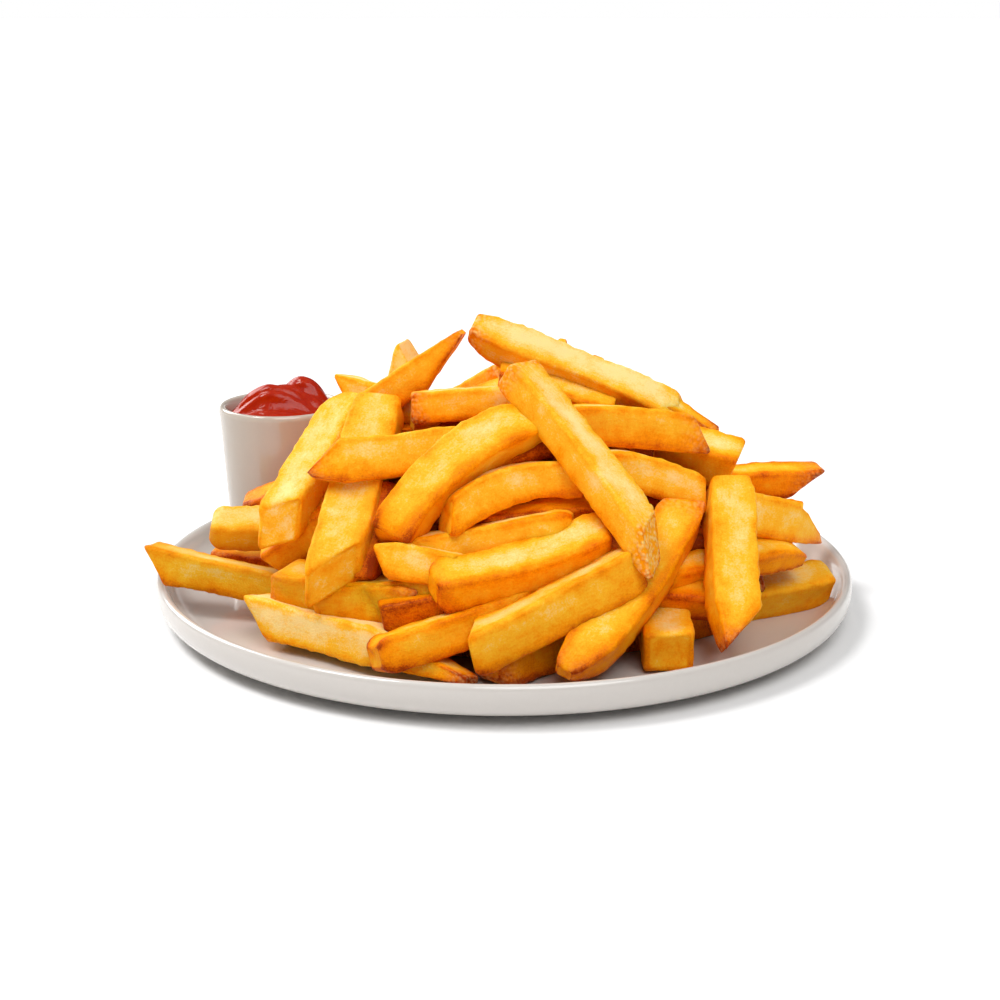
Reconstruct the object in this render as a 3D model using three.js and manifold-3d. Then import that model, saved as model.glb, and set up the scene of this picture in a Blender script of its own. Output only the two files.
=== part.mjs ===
// A round white dinner plate heaped with thick-cut french fries, with a small white pot of
// ketchup standing on it at the back left. Millimetres, +Z up. The origin is the middle of the
// plate's foot, on the table. The front of the plate faces -Y.
import * as THREE from 'three';
import Module from 'manifold-3d';
import { mergeVertices } from 'three/addons/utils/BufferGeometryUtils.js';

const wasm = await Module();
wasm.setup();

// Driving dimensions.
const plateRadius = 135;
const rimHeight = 16;
const rimThickness = 4.2;
const floorHeight = 5.5;
const floorRadius = 118;
const footRadius = 97;
const plateSides = 60;

const potPlace = [-90, 36];
const potRimRadius = 25.3;
const potBaseRadius = 20;
const potTop = 70;
const potWall = 3;
const potSides = 32;

const gap = 0.3;
const chamferShare = 0.24;
const thicknessShare = 0.86;
const ringsStraight = 4;
const ringsBent = 6;

// The pieces that show from the front. Each row holds a name, the middle of the two ends,
// the width of the section, its roll towards the front in degrees and the shape of each end:
// c cut across, u cut aslant with the upper edge longer, t tapered over a short way, p pointed.
const frontFries = [
  ['ridge', [-11, -4, 107], [67, -14, 78], 14, 25, 'cu'],
  ['bigfront', [3, -38, 99], [46, -90, 47], 15, 10, 'cc'],
  ['overright', [22, -46, 83], [71, -36, 73], 14, 5, 'cc'],
  ['tipright', [40, -27, 88], [79, -20, 72], 12, 20, 'cp'],
  ['blockright', [46, -38, 72], [87, -30, 62], 14, 30, 'cc'],
  ['arched', [28, -54, 67], [71, -50, 55], 13, 25, 'cc'],
  ['farright', [58, -2, 45], [120, 8, 41], 13, 15, 'cu'],
  ['upright', [78, -51, 60], [76, -100, 14], 15, 10, 'ct'],
  ['rightpoint', [72, -50, 50], [122, -19, 29], 15, 25, 'cp'],
  ['rightback', [80, -6, 42], [115, -6, 35], 10, 20, 'cc'],
  ['rightmid', [65, -75, 31], [110, -38, 26], 11, 20, 'cp'],
  ['rightblock', [76, -44, 13], [124, -22, 13], 15, 20, 'cc'],
  ['undermid', [36, -66, 26], [75, -73, 23], 12, 20, 'cc'],
  ['hook', [66, -56, 56], [22, -116, 13], 15, 10, 'tt'],
  ['cube', [56, -94, 14], [58, -47, 15], 16, 0, 'cc'],
  ['cream', [-9, -111, 19], [44, -84, 39], 16, 20, 'cc'],
  ['underfront', [-4, -115, 12], [34, -71, 14], 12, 15, 'cc'],
  ['lowfront', [-43, -110, 16], [13, -94, 32], 13, 20, 'tc'],
  ['lowleft', [-93, -64, 13], [-11, -115, 13], 15, 25, 'uc'],
  ['farleft', [-131, -33, 25], [-76, -42, 13], 15, 25, 'uc'],
  ['leftbrown', [-112, -9, 19], [-70, -16, 17], 10, 10, 'cc'],
  ['leftblock', [-111, -22, 34], [-68, -22, 35], 17, 30, 'cc'],
  ['leftup', [-99, -8, 41], [-64, -16, 52], 11, 15, 'cc'],
  ['paleleft', [-61, -16, 83], [-81, -60, 40], 16, 5, 'cc'],
  ['palemid', [-45, -26, 86], [-62, -86, 27], 17, 5, 'cc'],
  ['leftpoint', [-70, -52, 66], [-18, -58, 78], 14, 20, 'tc'],
  ['longdiag', [-41, -78, 49], [10, -52, 83], 14, 15, 'cc'],
  ['broken', [-34, -30, 83], [14, -32, 86], 13, 10, 'cc'],
  ['tiptop', [-15, -10, 104], [-56, -14, 76], 13, 20, 'pc'],
  ['paletip', [-36, -2, 100], [-48, 6, 60], 12, 10, 'tc'],
  ['lefttip', [-63, -8, 89], [-30, -8, 74], 10, 20, 'tc'],
  ['undertop', [-7, -12, 90], [50, -18, 80], 12, 20, 'cc'],
  ['backtip', [39, 6, 95], [14, 10, 62], 9, 20, 'tc'],
  ['backbump', [24, 8, 98], [6, 16, 60], 8, 20, 'tc'],
  ['archbright', [-20, -76, 54], [25, -62, 64], 14, 20, 'cc'],
  ['rounded', [-35, -78, 42], [24, -73, 52], 11, 20, 'ct'],
  ['lefttip2', [-44, -78, 39], [-6, -88, 37], 11, 20, 'tc'],
  ['widefront', [-24, -96, 36], [35, -77, 48], 15, 25, 'cc'],
  ['darklow', [-40, -92, 20], [14, -89, 32], 12, 10, 'cc'],
  ['midleft', [-81, -62, 24], [-40, -87, 29], 14, 20, 'cc'],
  ['goldlow', [-66, -78, 17], [-16, -88, 28], 13, 20, 'cc'],
  ['darkleft', [-86, -43, 29], [-58, -44, 53], 13, 10, 'cc'],
];

// The pieces that are bent: how far the middle bulges along the upper and the front face.
const bends = {
  overright: [2, -1],
  arched: [3, -2],
  upright: [0, 2],
  hook: [-2, 3],
  longdiag: [5, -5],
  archbright: [5, -4],
  widefront: [-2, 2],
};

// The crown and the two sides behind it, which don't show from the front.
const hiddenFries = [
  ['crownleft', [-62, 4, 64], [2, 22, 76], 14, 15, 'cc'],
  ['crownright', [10, 6, 78], [74, 16, 58], 14, 20, 'cu'],
  ['crownback', [-30, 36, 66], [42, 28, 72], 13, 10, 'tc'],
  ['crowncross', [-8, 2, 79], [32, 50, 62], 15, 5, 'cc'],
  ['crownfront', [-34, -24, 76], [28, -9, 80], 13, 20, 'cc'],
  ['shoulder', [50, 2, 66], [82, -10, 40], 13, 20, 'ct'],
  ['rearleft', [-46, 26, 60], [-20, 76, 36], 14, 10, 'cc'],
  ['rearright', [46, 18, 66], [66, 74, 34], 15, 10, 'ct'],
  ['rearhigh', [28, 50, 58], [84, 40, 46], 14, 25, 'cc'],
  ['sidehigh', [62, 14, 38], [98, 32, 32], 13, 15, 'tc'],
  ['sidemid', [70, 34, 34], [112, 22, 25], 14, 20, 'cc'],
  ['sidelow', [76, 36, 14], [110, 8, 14], 13, 10, 'tc'],
  ['sideedge', [74, -20, 37], [110, 2, 19], 12, 10, 'cc'],
  ['sideback', [72, 54, 28], [114, 42, 15], 13, 15, 'cu'],
  ['potfront', [-96, 0, 20], [-56, 6, 42], 13, 20, 'cc'],
  ['potside', [-56, 22, 52], [-50, 68, 32], 13, 10, 'cc'],
  ['potback', [-96, 72, 13], [-40, 60, 20], 13, 20, 'pc'],
  ['potfoot', [-66, 80, 13], [-18, 96, 15], 14, 15, 'cc'],
];

// The far side isn't seen. It repeats these pieces, turned half way round and a little lower.
const repeatedBehind = [
  'bigfront', 'palemid', 'leftpoint', 'longdiag', 'archbright', 'rounded', 'widefront', 'cream',
  'hook', 'cube', 'underfront', 'lowfront', 'lowleft', 'lefttip2', 'broken',
];
const turnAbout = [3, 0];
const behindHeightShare = 0.78;
const restingHeight = 14;

// The mound that the middles of the outermost pieces lie on, and the core that fills it.
const moundMiddle = 6;
const moundHalfWidth = 132;
const moundHalfDepth = 112;
const moundFoot = 14;
const moundHeight = 98;
const coreDepth = 12;
const coreTop = 76;
const coreReach = 100;
const coreCrown = -5;
const coreHalfWidth = 112;
const coreHalfDepth = 95;

// A closed ring of eight points: a rectangle with its corners cut, side to side and up.
function sectionPoints(width, thickness) {
  const chamfer = chamferShare * Math.min(width, thickness);
  const points = [];
  for (const [side, up] of [[1, 1], [-1, 1], [-1, -1], [1, -1]]) {
    const onSide = [side * width / 2, up * (thickness / 2 - chamfer)];
    const onTop = [side * (width / 2 - chamfer), up * thickness / 2];
    points.push(...(side * up > 0 ? [onSide, onTop] : [onTop, onSide]));
  }
  return points;
}

// How much of the full section is left at a distance, as a share of the length, from an end.
function endShare(kind, distance) {
  const shapes = { c: [0.88, 0.03], u: [0.88, 0.03], t: [0.4, 0.17], p: [0.25, 0.34] };
  const [least, reach] = shapes[kind];
  return least + (1 - least) * Math.min(1, distance / reach);
}

// The shares of the length at which a piece has a ring of points.
function ringShares(ends, bent) {
  const reach = { c: 0.06, u: 0.06, t: 0.17, p: 0.34 };
  const first = reach[ends[0]];
  const last = 1 - reach[ends[1]];
  const inner = (bent ? ringsBent : ringsStraight) - 4;
  const shares = [0, first];
  for (let i = 1; i <= inner; i += 1) {
    shares.push(first + (last - first) * i / (inner + 1));
  }
  return [...shares, last, 1];
}

// One piece: eight points round the section at each ring, closed at both ends. It rolls
// towards the front of the plate, or towards the back where it lies on the far side.
function fryGeometry([name, start, end, width, roll, ends], rollsTowards = -1) {
  const from = new THREE.Vector3(...start);
  const to = new THREE.Vector3(...end);
  const thickness = width * thicknessShare;
  const along = to.clone().sub(from).normalize();
  const up = new THREE.Vector3(0, 0, 1).addScaledVector(along, -along.z).normalize();
  const front = new THREE.Vector3().crossVectors(along, up);
  if (front.y * rollsTowards < 0) front.negate();
  const angle = THREE.MathUtils.degToRad(roll);
  const top = up.clone().multiplyScalar(Math.cos(angle)).addScaledVector(front, Math.sin(angle));
  const side = front.clone().multiplyScalar(Math.cos(angle)).addScaledVector(up, -Math.sin(angle));
  const [bulgeTop, bulgeSide] = bends[name] ?? [0, 0];
  const shares = ringShares(ends, bulgeTop !== 0 || bulgeSide !== 0);
  const section = sectionPoints(width, thickness);
  const positions = [];
  for (const share of shares) {
    const size = Math.min(endShare(ends[0], share), endShare(ends[1], 1 - share));
    const bulge = 4 * share * (1 - share);
    const middle = from.clone().lerp(to, share)
      .addScaledVector(top, bulgeTop * bulge)
      .addScaledVector(side, bulgeSide * bulge);
    let lean = 0;
    if (share === 0 && ends[0] === 'u') lean = -0.5;
    if (share === 1 && ends[1] === 'u') lean = 0.5;
    for (const [x, y] of section) {
      const point = middle.clone()
        .addScaledVector(side, x * size)
        .addScaledVector(top, y * size)
        .addScaledVector(along, y * size * lean);
      positions.push(...point);
    }
  }
  const rightHanded = new THREE.Vector3().crossVectors(side, top).dot(along) > 0;
  return closedTube(positions, section.length, shares.length, rightHanded);
}

// Joins rings of points into one closed skin, with its faces pointing out.
function closedTube(positions, around, rings, rightHanded) {
  const index = [];
  const add = (a, b, c) => index.push(...(rightHanded ? [a, b, c] : [a, c, b]));
  for (let ring = 0; ring < rings - 1; ring += 1) {
    for (let i = 0; i < around; i += 1) {
      const a = ring * around + i;
      const b = ring * around + (i + 1) % around;
      add(a, b, b + around);
      add(a, b + around, a + around);
    }
  }
  const last = (rings - 1) * around;
  for (let i = 1; i < around - 1; i += 1) {
    add(0, i + 1, i);
    add(last, last + i, last + i + 1);
  }
  const geometry = new THREE.BufferGeometry();
  geometry.setAttribute('position', new THREE.Float32BufferAttribute(positions, 3));
  geometry.setIndex(index);
  return geometry;
}

// A turned shape that stands along +Z, from a profile of radius and height.
function turnedGeometry(profile, sides, [x, y] = [0, 0]) {
  const points = profile.map(([radius, height]) => new THREE.Vector2(radius, height));
  const geometry = new THREE.LatheGeometry(points, sides);
  geometry.rotateX(Math.PI / 2);
  geometry.translate(x, y, 0);
  return geometry;
}

function solidFrom(geometry) {
  const plain = geometry.clone();
  plain.deleteAttribute('normal');
  plain.deleteAttribute('uv');
  const merged = mergeVertices(plain, 1e-4);
  const kept = [];
  const corners = merged.index.array;
  for (let i = 0; i < corners.length; i += 3) {
    const [a, b, c] = corners.slice(i, i + 3);
    if (a !== b && b !== c && c !== a) kept.push(a, b, c);
  }
  return new wasm.Manifold(new wasm.Mesh({
    numProp: 3,
    vertProperties: new Float32Array(merged.attributes.position.array),
    triVerts: new Uint32Array(kept),
  }));
}

function geometryFrom(solid) {
  const mesh = solid.getMesh();
  const geometry = new THREE.BufferGeometry();
  geometry.setAttribute('position', new THREE.BufferAttribute(mesh.vertProperties, 3));
  geometry.setIndex(new THREE.BufferAttribute(mesh.triVerts, 1));
  geometry.computeVertexNormals();
  return geometry;
}

// The upper side of the plate, from the middle of its floor out to the top of the rim.
function plateUpperProfile() {
  const inner = plateRadius - rimThickness;
  return [
    [0, floorHeight],
    [floorRadius, floorHeight + 0.1],
    [floorRadius + 6, floorHeight + 1.3],
    [inner - 2.2, floorHeight + 4.6],
    [inner - 0.3, rimHeight - 2],
    [inner + 0.7, rimHeight - 0.5],
    [inner + 2, rimHeight],
  ];
}

function plateGeometry() {
  const underside = [
    [plateRadius - 0.9, rimHeight - 0.4],
    [plateRadius, rimHeight - 1.8],
    [plateRadius, rimHeight - 6],
    [plateRadius - 1.2, rimHeight - 9.4],
    [plateRadius - 4.5, rimHeight - 12.2],
    [plateRadius - 11, rimHeight - 13.6],
    [footRadius + 3, 2.4],
    [footRadius, 0],
    [footRadius - 5, 0],
    [footRadius - 7, 2.5],
    [0, 2.5],
  ];
  return turnedGeometry([...plateUpperProfile(), ...underside].reverse(), plateSides);
}

// The outside of the pot, from the middle of its base up to the top of its lip.
function potOuterProfile() {
  const base = floorHeight + gap;
  return [
    [0, base + 1.2],
    [potBaseRadius - 3, base + 1.2],
    [potBaseRadius - 2, base],
    [potBaseRadius - 0.4, base],
    [potBaseRadius + 0.6, base + 1.6],
    [potRimRadius - 0.8, potTop - 9],
    [potRimRadius - 0.1, potTop - 3.4],
    [potRimRadius, potTop - 1.8],
    [potRimRadius - 0.6, potTop - 0.5],
    [potRimRadius - 1.7, potTop],
  ];
}

// The inside of the pot, from its lip down to the middle of its floor.
function potInnerProfile() {
  return [
    [potRimRadius - 2.8, potTop - 0.5],
    [potRimRadius - 3.3, potTop - 1.9],
    [potRimRadius - 3.9, potTop - 9],
    [potBaseRadius - potWall + 1, floorHeight + 8],
    [potBaseRadius - potWall - 2, floorHeight + 5],
    [0, floorHeight + 5],
  ];
}

function potGeometry() {
  return turnedGeometry([...potOuterProfile(), ...potInnerProfile()], potSides, potPlace);
}

// How far the ketchup stands above its level, at a place measured from the pot's middle:
// a long fold that lies across the front and a taller one behind it to the right.
function ketchupRise(x, y) {
  const fold = (middleX, middleY, halfX, halfY, height) => (
    height * Math.exp(-(((x - middleX) / halfX) ** 2) - ((y - middleY) / halfY) ** 2)
  );
  const dome = fold(0, 0, 20, 20, 3);
  const frontFold = fold(-3, -7, 11, 6, 8);
  const backFold = fold(8, 5, 8, 7, 11);
  const backLeft = fold(-10, 6, 6, 6, 3);
  return dome + frontFold + backFold + backLeft;
}

// The ketchup fills the pot, and its folded top stands above the rim.
function ketchupGeometry() {
  const level = potTop - 4;
  const edge = potRimRadius - 3.6 - gap;
  const rings = [0.25, 0.45, 0.62, 0.76, 0.88, 1];
  const around = potSides;
  const positions = [];
  const ring = (radius, heightAt) => {
    for (let i = 0; i < around; i += 1) {
      const angle = 2 * Math.PI * i / around;
      const x = radius * Math.cos(angle);
      const y = radius * Math.sin(angle);
      positions.push(potPlace[0] + x, potPlace[1] + y, heightAt(x, y));
    }
  };
  ring(potBaseRadius - potWall - 2, () => floorHeight + 5 + gap);
  ring(potBaseRadius - potWall + 0.6, () => floorHeight + 8 + gap);
  for (const share of [...rings].reverse()) {
    const settle = share === 1 ? 0.2 : 1;
    ring(edge * share, (x, y) => level + settle * ketchupRise(x, y));
  }
  return closedTube(positions, around, rings.length + 2, true);
}

// A piece of the front turned half way round, for the far side of the heap.
function turned([name, start, end, width, roll, ends]) {
  const move = ([x, y, z]) => [
    2 * turnAbout[0] - x,
    2 * turnAbout[1] - y,
    restingHeight + (z - restingHeight) * behindHeightShare,
  ];
  return [name, move(start), move(end), width, roll, ends];
}

// The height of the core's skin at a place.
function coreHeight(x, y) {
  const across = (Math.abs(x - moundMiddle) / moundHalfWidth) ** 2.2;
  const deep = (Math.abs(y) / moundHalfDepth) ** 1.15;
  const mound = moundFoot + moundHeight * (1 - across - deep);
  const lowered = y > 0 ? restingHeight + (mound - restingHeight) * behindHeightShare : mound;
  const crown = coreTop * (1 - (Math.abs(x - coreCrown) / coreReach) ** 3);
  return Math.min(crown, lowered - coreDepth);
}

// The inside of the heap, which only shows as the bottom of its gaps.
function heapCore() {
  const around = 18;
  const base = floorHeight + 2 * gap;
  const shares = [0.97, 0.82, 0.62, 0.4, 0.18];
  const positions = [];
  for (const [ring, share] of [shares[0], ...shares].entries()) {
    for (let i = 0; i < around; i += 1) {
      const angle = 2 * Math.PI * i / around;
      const x = moundMiddle + coreHalfWidth * share * Math.cos(angle);
      const y = coreHalfDepth * share * Math.sin(angle);
      positions.push(x, y, ring === 0 ? base : Math.max(base + 1, coreHeight(x, y)));
    }
  }
  return solidFrom(closedTube(positions, around, shares.length + 1, true));
}

// What the heap keeps clear of: all that lies under the plate's upper side, and the pot.
function keepOut() {
  const wide = plateRadius + 20;
  const upper = plateUpperProfile().map(([radius, height]) => [radius, height + gap]);
  const under = [[0, -5], [wide, -5], [wide, rimHeight + gap], ...upper.reverse()];
  const pot = [
    [0, 0],
    [potBaseRadius + 0.6 + gap, 0],
    [potRimRadius + gap, potTop - 3],
    [potRimRadius + gap, potTop + 30],
    [0, potTop + 30],
  ];
  const plateSpace = solidFrom(turnedGeometry(under, plateSides));
  return plateSpace.add(solidFrom(turnedGeometry(pot, potSides, potPlace)));
}

// All the pieces and the core fused into one solid. Sealed hollows and loose scraps go.
function friesGeometry() {
  const solids = [...frontFries, ...hiddenFries].map((row) => solidFrom(fryGeometry(row)));
  for (const row of frontFries.filter(([name]) => repeatedBehind.includes(name))) {
    solids.push(solidFrom(fryGeometry(turned(row), 1)));
  }
  let heap = heapCore();
  for (const solid of solids) {
    heap = heap.add(solid);
  }
  const bodies = heap.subtract(keepOut()).decompose();
  bodies.sort((a, b) => b.volume() - a.volume());
  return geometryFrom(bodies[0]);
}

function named(name, geometry, colour, roughness) {
  const material = new THREE.MeshStandardMaterial({ color: colour, roughness, metalness: 0 });
  const mesh = new THREE.Mesh(geometry, material);
  mesh.name = name;
  return mesh;
}

const dish = new THREE.Group();
dish.add(named('plate', plateGeometry(), '#f1eeea', 0.25));
dish.add(named('pot', potGeometry(), '#eeebe8', 0.25));
dish.add(named('ketchup', ketchupGeometry(), '#a81f08', 0.2));
dish.add(named('fries', friesGeometry(), '#eda83a', 0.55));

export default dish;
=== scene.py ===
# A round white dinner plate heaped with thick-cut french fries, with a small pot of ketchup on
# it. Lengths in the tables are millimetres, and the front of the plate faces -Y.
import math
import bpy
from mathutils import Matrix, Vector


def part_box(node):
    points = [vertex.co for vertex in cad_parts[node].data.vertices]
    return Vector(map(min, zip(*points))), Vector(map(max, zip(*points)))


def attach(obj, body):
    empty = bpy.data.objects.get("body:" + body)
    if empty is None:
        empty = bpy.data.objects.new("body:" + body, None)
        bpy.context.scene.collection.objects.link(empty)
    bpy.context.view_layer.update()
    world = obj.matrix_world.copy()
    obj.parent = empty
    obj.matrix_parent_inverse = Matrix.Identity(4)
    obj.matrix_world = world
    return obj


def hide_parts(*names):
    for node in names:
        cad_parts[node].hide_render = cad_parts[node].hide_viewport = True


bl_info = {
    "name": "Plate of french fries",
    "version": (1, 0, 0),
    "blender": (4, 5, 0),
    "location": "3D Viewport > Sidebar > Fries",
    "description": "Makes a plate of french fries with a pot of ketchup, and a floor and soft light",
    "category": "Add Mesh",
}

import bpy
from bpy.props import FloatProperty, FloatVectorProperty, PointerProperty
from mathutils import Matrix, Vector, noise

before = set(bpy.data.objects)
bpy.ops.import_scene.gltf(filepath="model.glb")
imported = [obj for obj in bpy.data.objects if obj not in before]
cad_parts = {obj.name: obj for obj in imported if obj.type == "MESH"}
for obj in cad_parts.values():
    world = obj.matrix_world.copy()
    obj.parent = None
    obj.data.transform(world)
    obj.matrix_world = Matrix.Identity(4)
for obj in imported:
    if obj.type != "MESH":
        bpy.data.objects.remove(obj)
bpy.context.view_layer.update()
MM = 0.001


def linear(code):
    """Turns an sRGB hex colour into the linear values that a shader takes."""
    channels = [int(code[i:i + 2], 16) / 255 for i in (1, 3, 5)]
    return tuple(c / 12.92 if c <= 0.04045 else ((c + 0.055) / 1.055) ** 2.4 for c in channels)


# The pieces that show from the front: a name, the middle of the two ends, the width of the
# section, its roll towards the front in degrees and the shape of each end: c cut across,
# r rounded, u cut aslant with the upper edge longer, t tapered over a short way, p pointed,
# s pointed over a short way.
FRONT_FRIES = (
    ("ridge", (-12.5, -4, 107), (68.5, -14, 75.5), 14.5, 32, "tc"),
    ("bigfront", (4, -43, 99), (50, -91, 49), 14.5, -3, "cc"),
    ("overright", (22, -44, 80), (70, -34, 74), 17.5, -12, "cc"),
    ("tipright", (46, -10, 83), (80, -19, 74), 10, 20, "cp"),
    ("blockright", (58, -22, 69), (86, -30, 62), 17, 20, "cc"),
    ("arched", (26, -54, 67), (71, -50, 55), 16.5, -12, "cc"),
    ("farright", (58, -2, 47), (118, 8, 46), 14, 0, "cc"),
    ("upright", (81, -51, 60), (80, -100, 15), 16, 8, "cs"),
    ("rightpoint", (80, -44, 50), (123, -18, 34), 18, -8, "cp"),
    ("rightback", (80, -6, 42), (115, -6, 35), 10, 20, "cc"),
    ("rightmid", (50, -76, 32), (110, -38, 31), 11, 20, "ct"),
    ("rightblock", (76, -44, 13), (124, -22, 14), 16, 20, "cr"),
    ("undermid", (36, -66, 26), (75, -73, 23), 12, 20, "cc"),
    ("hook", (63, -58, 52), (20, -116, 13), 16.5, 20, "ct"),
    ("cube", (56.5, -98, 13.5), (58, -50, 14.5), 18.5, 0, "cc"),
    ("cream", (-9, -112, 20), (44, -85, 40), 17.5, -15, "cc"),
    ("underfront", (-5, -110, 13), (36, -66, 15), 16, 0, "rc"),
    ("lowfront", (-43, -110, 16), (8, -88, 27), 15, -14, "rc"),
    ("lowleft", (-85, -64, 14), (-10, -112, 12.5), 15.5, -14, "up"),
    ("farleft", (-129, -33, 24), (-76, -42, 14), 15, -12, "uc"),
    ("leftbrown", (-112, -10, 19), (-70, -16, 17), 11, 10, "tc"),
    ("leftblock", (-111, -22, 35), (-68, -22, 36), 14, 25, "rc"),
    ("leftup", (-99, -8, 38), (-64, -16, 49), 12, 15, "rc"),
    ("paleleft", (-57, -16, 84), (-81, -55, 46), 15.5, 5, "tc"),
    ("palemid", (-45, -26, 84), (-59, -82, 35), 18, 5, "cc"),
    ("leftpoint", (-69, -58, 69), (-16, -50, 73), 19, -18, "sc"),
    ("longdiag", (-39, -78, 47), (10, -50, 82), 17, 35, "cc"),
    ("broken", (-34, -30, 83), (14, -32, 86), 14, -12, "cc"),
    ("tiptop", (-13.5, -10, 104.5), (-56, -14, 76), 15, -12, "pc"),
    ("paletip", (-35, -2, 98), (-48, 6, 60), 12, 10, "cc"),
    ("lefttip", (-65, -8, 87), (-30, -8, 75), 12, -10, "sc"),
    ("undertop", (-2, -12, 91), (40, -18, 79), 13, 20, "rc"),
    ("backtip", (39, 6, 93), (14, 10, 60), 11, 20, "tc"),
    ("backbump", (24, 8, 100), (6, 16, 60), 8, 20, "tc"),
    ("archbright", (-20, -76, 54), (25, -60, 64), 16, -14, "cc"),
    ("rounded", (-35, -78, 42), (24, -73, 52), 14, -10, "cr"),
    ("lefttip2", (-45, -79, 41), (-15, -86, 38), 15, -14, "sc"),
    ("widefront", (-24, -96, 36), (35, -75, 48), 16, 22, "rc"),
    ("darklow", (-42, -90, 23), (12, -85, 30.5), 13, -5, "cc"),
    ("midleft", (-81, -60, 25), (-26, -84, 26), 17, 0, "rc"),
    ("goldlow", (-66, -72, 20), (-16, -84, 30), 17, -10, "rc"),
    ("darkleft", (-86, -43, 29), (-58, -44, 53), 13, 10, "cc"),
)

# The pieces that show only as dark strips in the gaps, browned dark as painted shade.
DEEP_FRIES = (
    ("sliver", (-16, -58, 65), (18, -48, 74), 9, 10, "cc"),
    ("underarch", (-14, -66, 50), (40, -60, 54), 11, 20, "cc"),
    ("behindmid", (-44, -52, 60), (-52, -74, 30), 15, 10, "cc"),
    ("deepleft", (-62, -40, 45), (-28, -40, 63), 12, 10, "cc"),
    ("deepmid", (-44, -66, 38), (-10, -60, 52), 11, 10, "cc"),
    ("deepright", (24, -53, 53), (66, -43, 50), 14, 10, "cc"),
    ("deepcorner", (60, -58, 40), (88, -41, 34), 14, 10, "cc"),
)

# The crown and the two sides behind it, which don't show from the front.
HIDDEN_FRIES = (
    ("crownleft", (-62, 4, 64), (2, 22, 76), 14, 15, "cc"),
    ("crownright", (10, 6, 78), (74, 16, 58), 14, 20, "cu"),
    ("crownback", (-30, 36, 66), (42, 28, 72), 13, 10, "tc"),
    ("crowncross", (-4, 4, 75), (32, 50, 62), 15, 5, "cc"),
    ("crownfront", (-34, -24, 76), (28, -9, 80), 13, 20, "cc"),
    ("shoulder", (50, 2, 66), (82, -10, 40), 13, 20, "ct"),
    ("rearleft", (-46, 26, 60), (-20, 76, 36), 14, 10, "cc"),
    ("rearright", (46, 18, 66), (66, 74, 34), 15, 10, "ct"),
    ("rearhigh", (28, 50, 58), (84, 40, 46), 14, 25, "cc"),
    ("sidehigh", (62, 14, 38), (98, 32, 32), 13, 15, "tc"),
    ("sidemid", (70, 34, 34), (112, 22, 25), 14, 20, "cc"),
    ("sidelow", (76, 36, 14), (110, 8, 14), 13, 10, "tc"),
    ("sideedge", (74, -20, 37), (110, 2, 19), 12, 10, "cc"),
    ("sideback", (72, 54, 28), (114, 42, 15), 13, 15, "cu"),
    ("potfront", (-96, 0, 20), (-56, 6, 42), 13, 20, "cc"),
    ("potside", (-56, 22, 52), (-50, 68, 32), 13, 10, "cc"),
    ("potback", (-96, 72, 13), (-40, 60, 20), 13, 20, "pc"),
    ("potfoot", (-66, 80, 13), (-18, 96, 15), 14, 15, "cc"),
)

# How far the middle of a bent piece bulges along its upper and its front face.
BENDS = {
    "overright": (1, -1),
    "arched": (3, -2),
    "upright": (0, -1.5),
    "hook": (-2, 3),
    "longdiag": (5, -5),
    "archbright": (5, -4),
    "widefront": (-2, 2),
}

# The far side repeats these pieces, turned half way round and a little lower.
REPEATED_BEHIND = (
    "bigfront", "palemid", "leftpoint", "longdiag", "archbright", "rounded", "widefront", "cream",
    "hook", "cube", "underfront", "lowfront", "lowleft", "lefttip2", "broken",
)
TURN_ABOUT = (3, 0)
BEHIND_HEIGHT_SHARE = 0.78
RESTING_HEIGHT = 14

# The mound that the middles of the outermost pieces lie on, and the core that fills it.
MOUND_MIDDLE = 6
MOUND_HALF_WIDTH = 132
MOUND_HALF_DEPTH = 112
MOUND_HEIGHT = 98
MOUND_ROUNDNESS = 2.2
MOUND_STEEPNESS = 1.15
CORE_BASE = 6.1
CORE_DEPTH = 12
CORE_TOP = 76
CORE_REACH = 100
CORE_CROWN = -5
CORE_HALF_WIDTH = 100
CORE_HALF_DEPTH = 84
CORE_AROUND = 48
CORE_RINGS = (1, 0.98, 0.88, 0.76, 0.62, 0.48, 0.32, 0.16)
# Painted shade: the core is browned nearly to the darkest, for the deep gaps it shows through.
CORE_PAINTED_SHADE = 0.85
CORE_PATCH = 0.2
CORE_PATCH_LENGTH = 8

# How far each piece was fried, and for the pieces deep in the gaps painted shade: 0 is pale all over,
# 1 is brown all over.
FRIED_AND_DEEP_SHADE = {
    "ridge": -0.08, "bigfront": 0.0, "paleleft": 0.0, "palemid": 0.08, "cream": 0.08,
    "upright": 0.06, "archbright": 0.04, "widefront": 0.1, "leftblock": -0.04, "overright": 0.1,
    "arched": -0.04, "blockright": 0.04, "longdiag": 0.06, "leftpoint": 0.0, "farleft": 0.02,
    "lowleft": -0.18, "cube": 0.12, "underfront": 0.24, "darklow": 0.5, "leftbrown": 0.25,
    "leftup": 0.3, "farright": 0.24, "rightpoint": -0.04, "rightmid": 0.18, "undermid": 0.32,
    "hook": 0.16, "tiptop": 0.04, "paletip": -0.3, "lefttip": -0.1, "goldlow": 0.12, "midleft": 0.08,
    "rounded": 0.06, "lefttip2": 0.0, "lowfront": 0.12, "rightblock": 0.06, "broken": 0.0,
    "undertop": 0.14, "tipright": 0.16, "backtip": 0.0, "backbump": 0.0,
    # Painted shade: the pieces deep in the gaps are browned dark for the shade they lie in.
    "sliver": 0.5, "underarch": 0.4, "behindmid": 0.5, "deepleft": 0.75, "deepmid": 0.75,
    "deepright": 0.6, "deepcorner": 0.7,
}
USUAL_FRIED = 0.14

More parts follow.
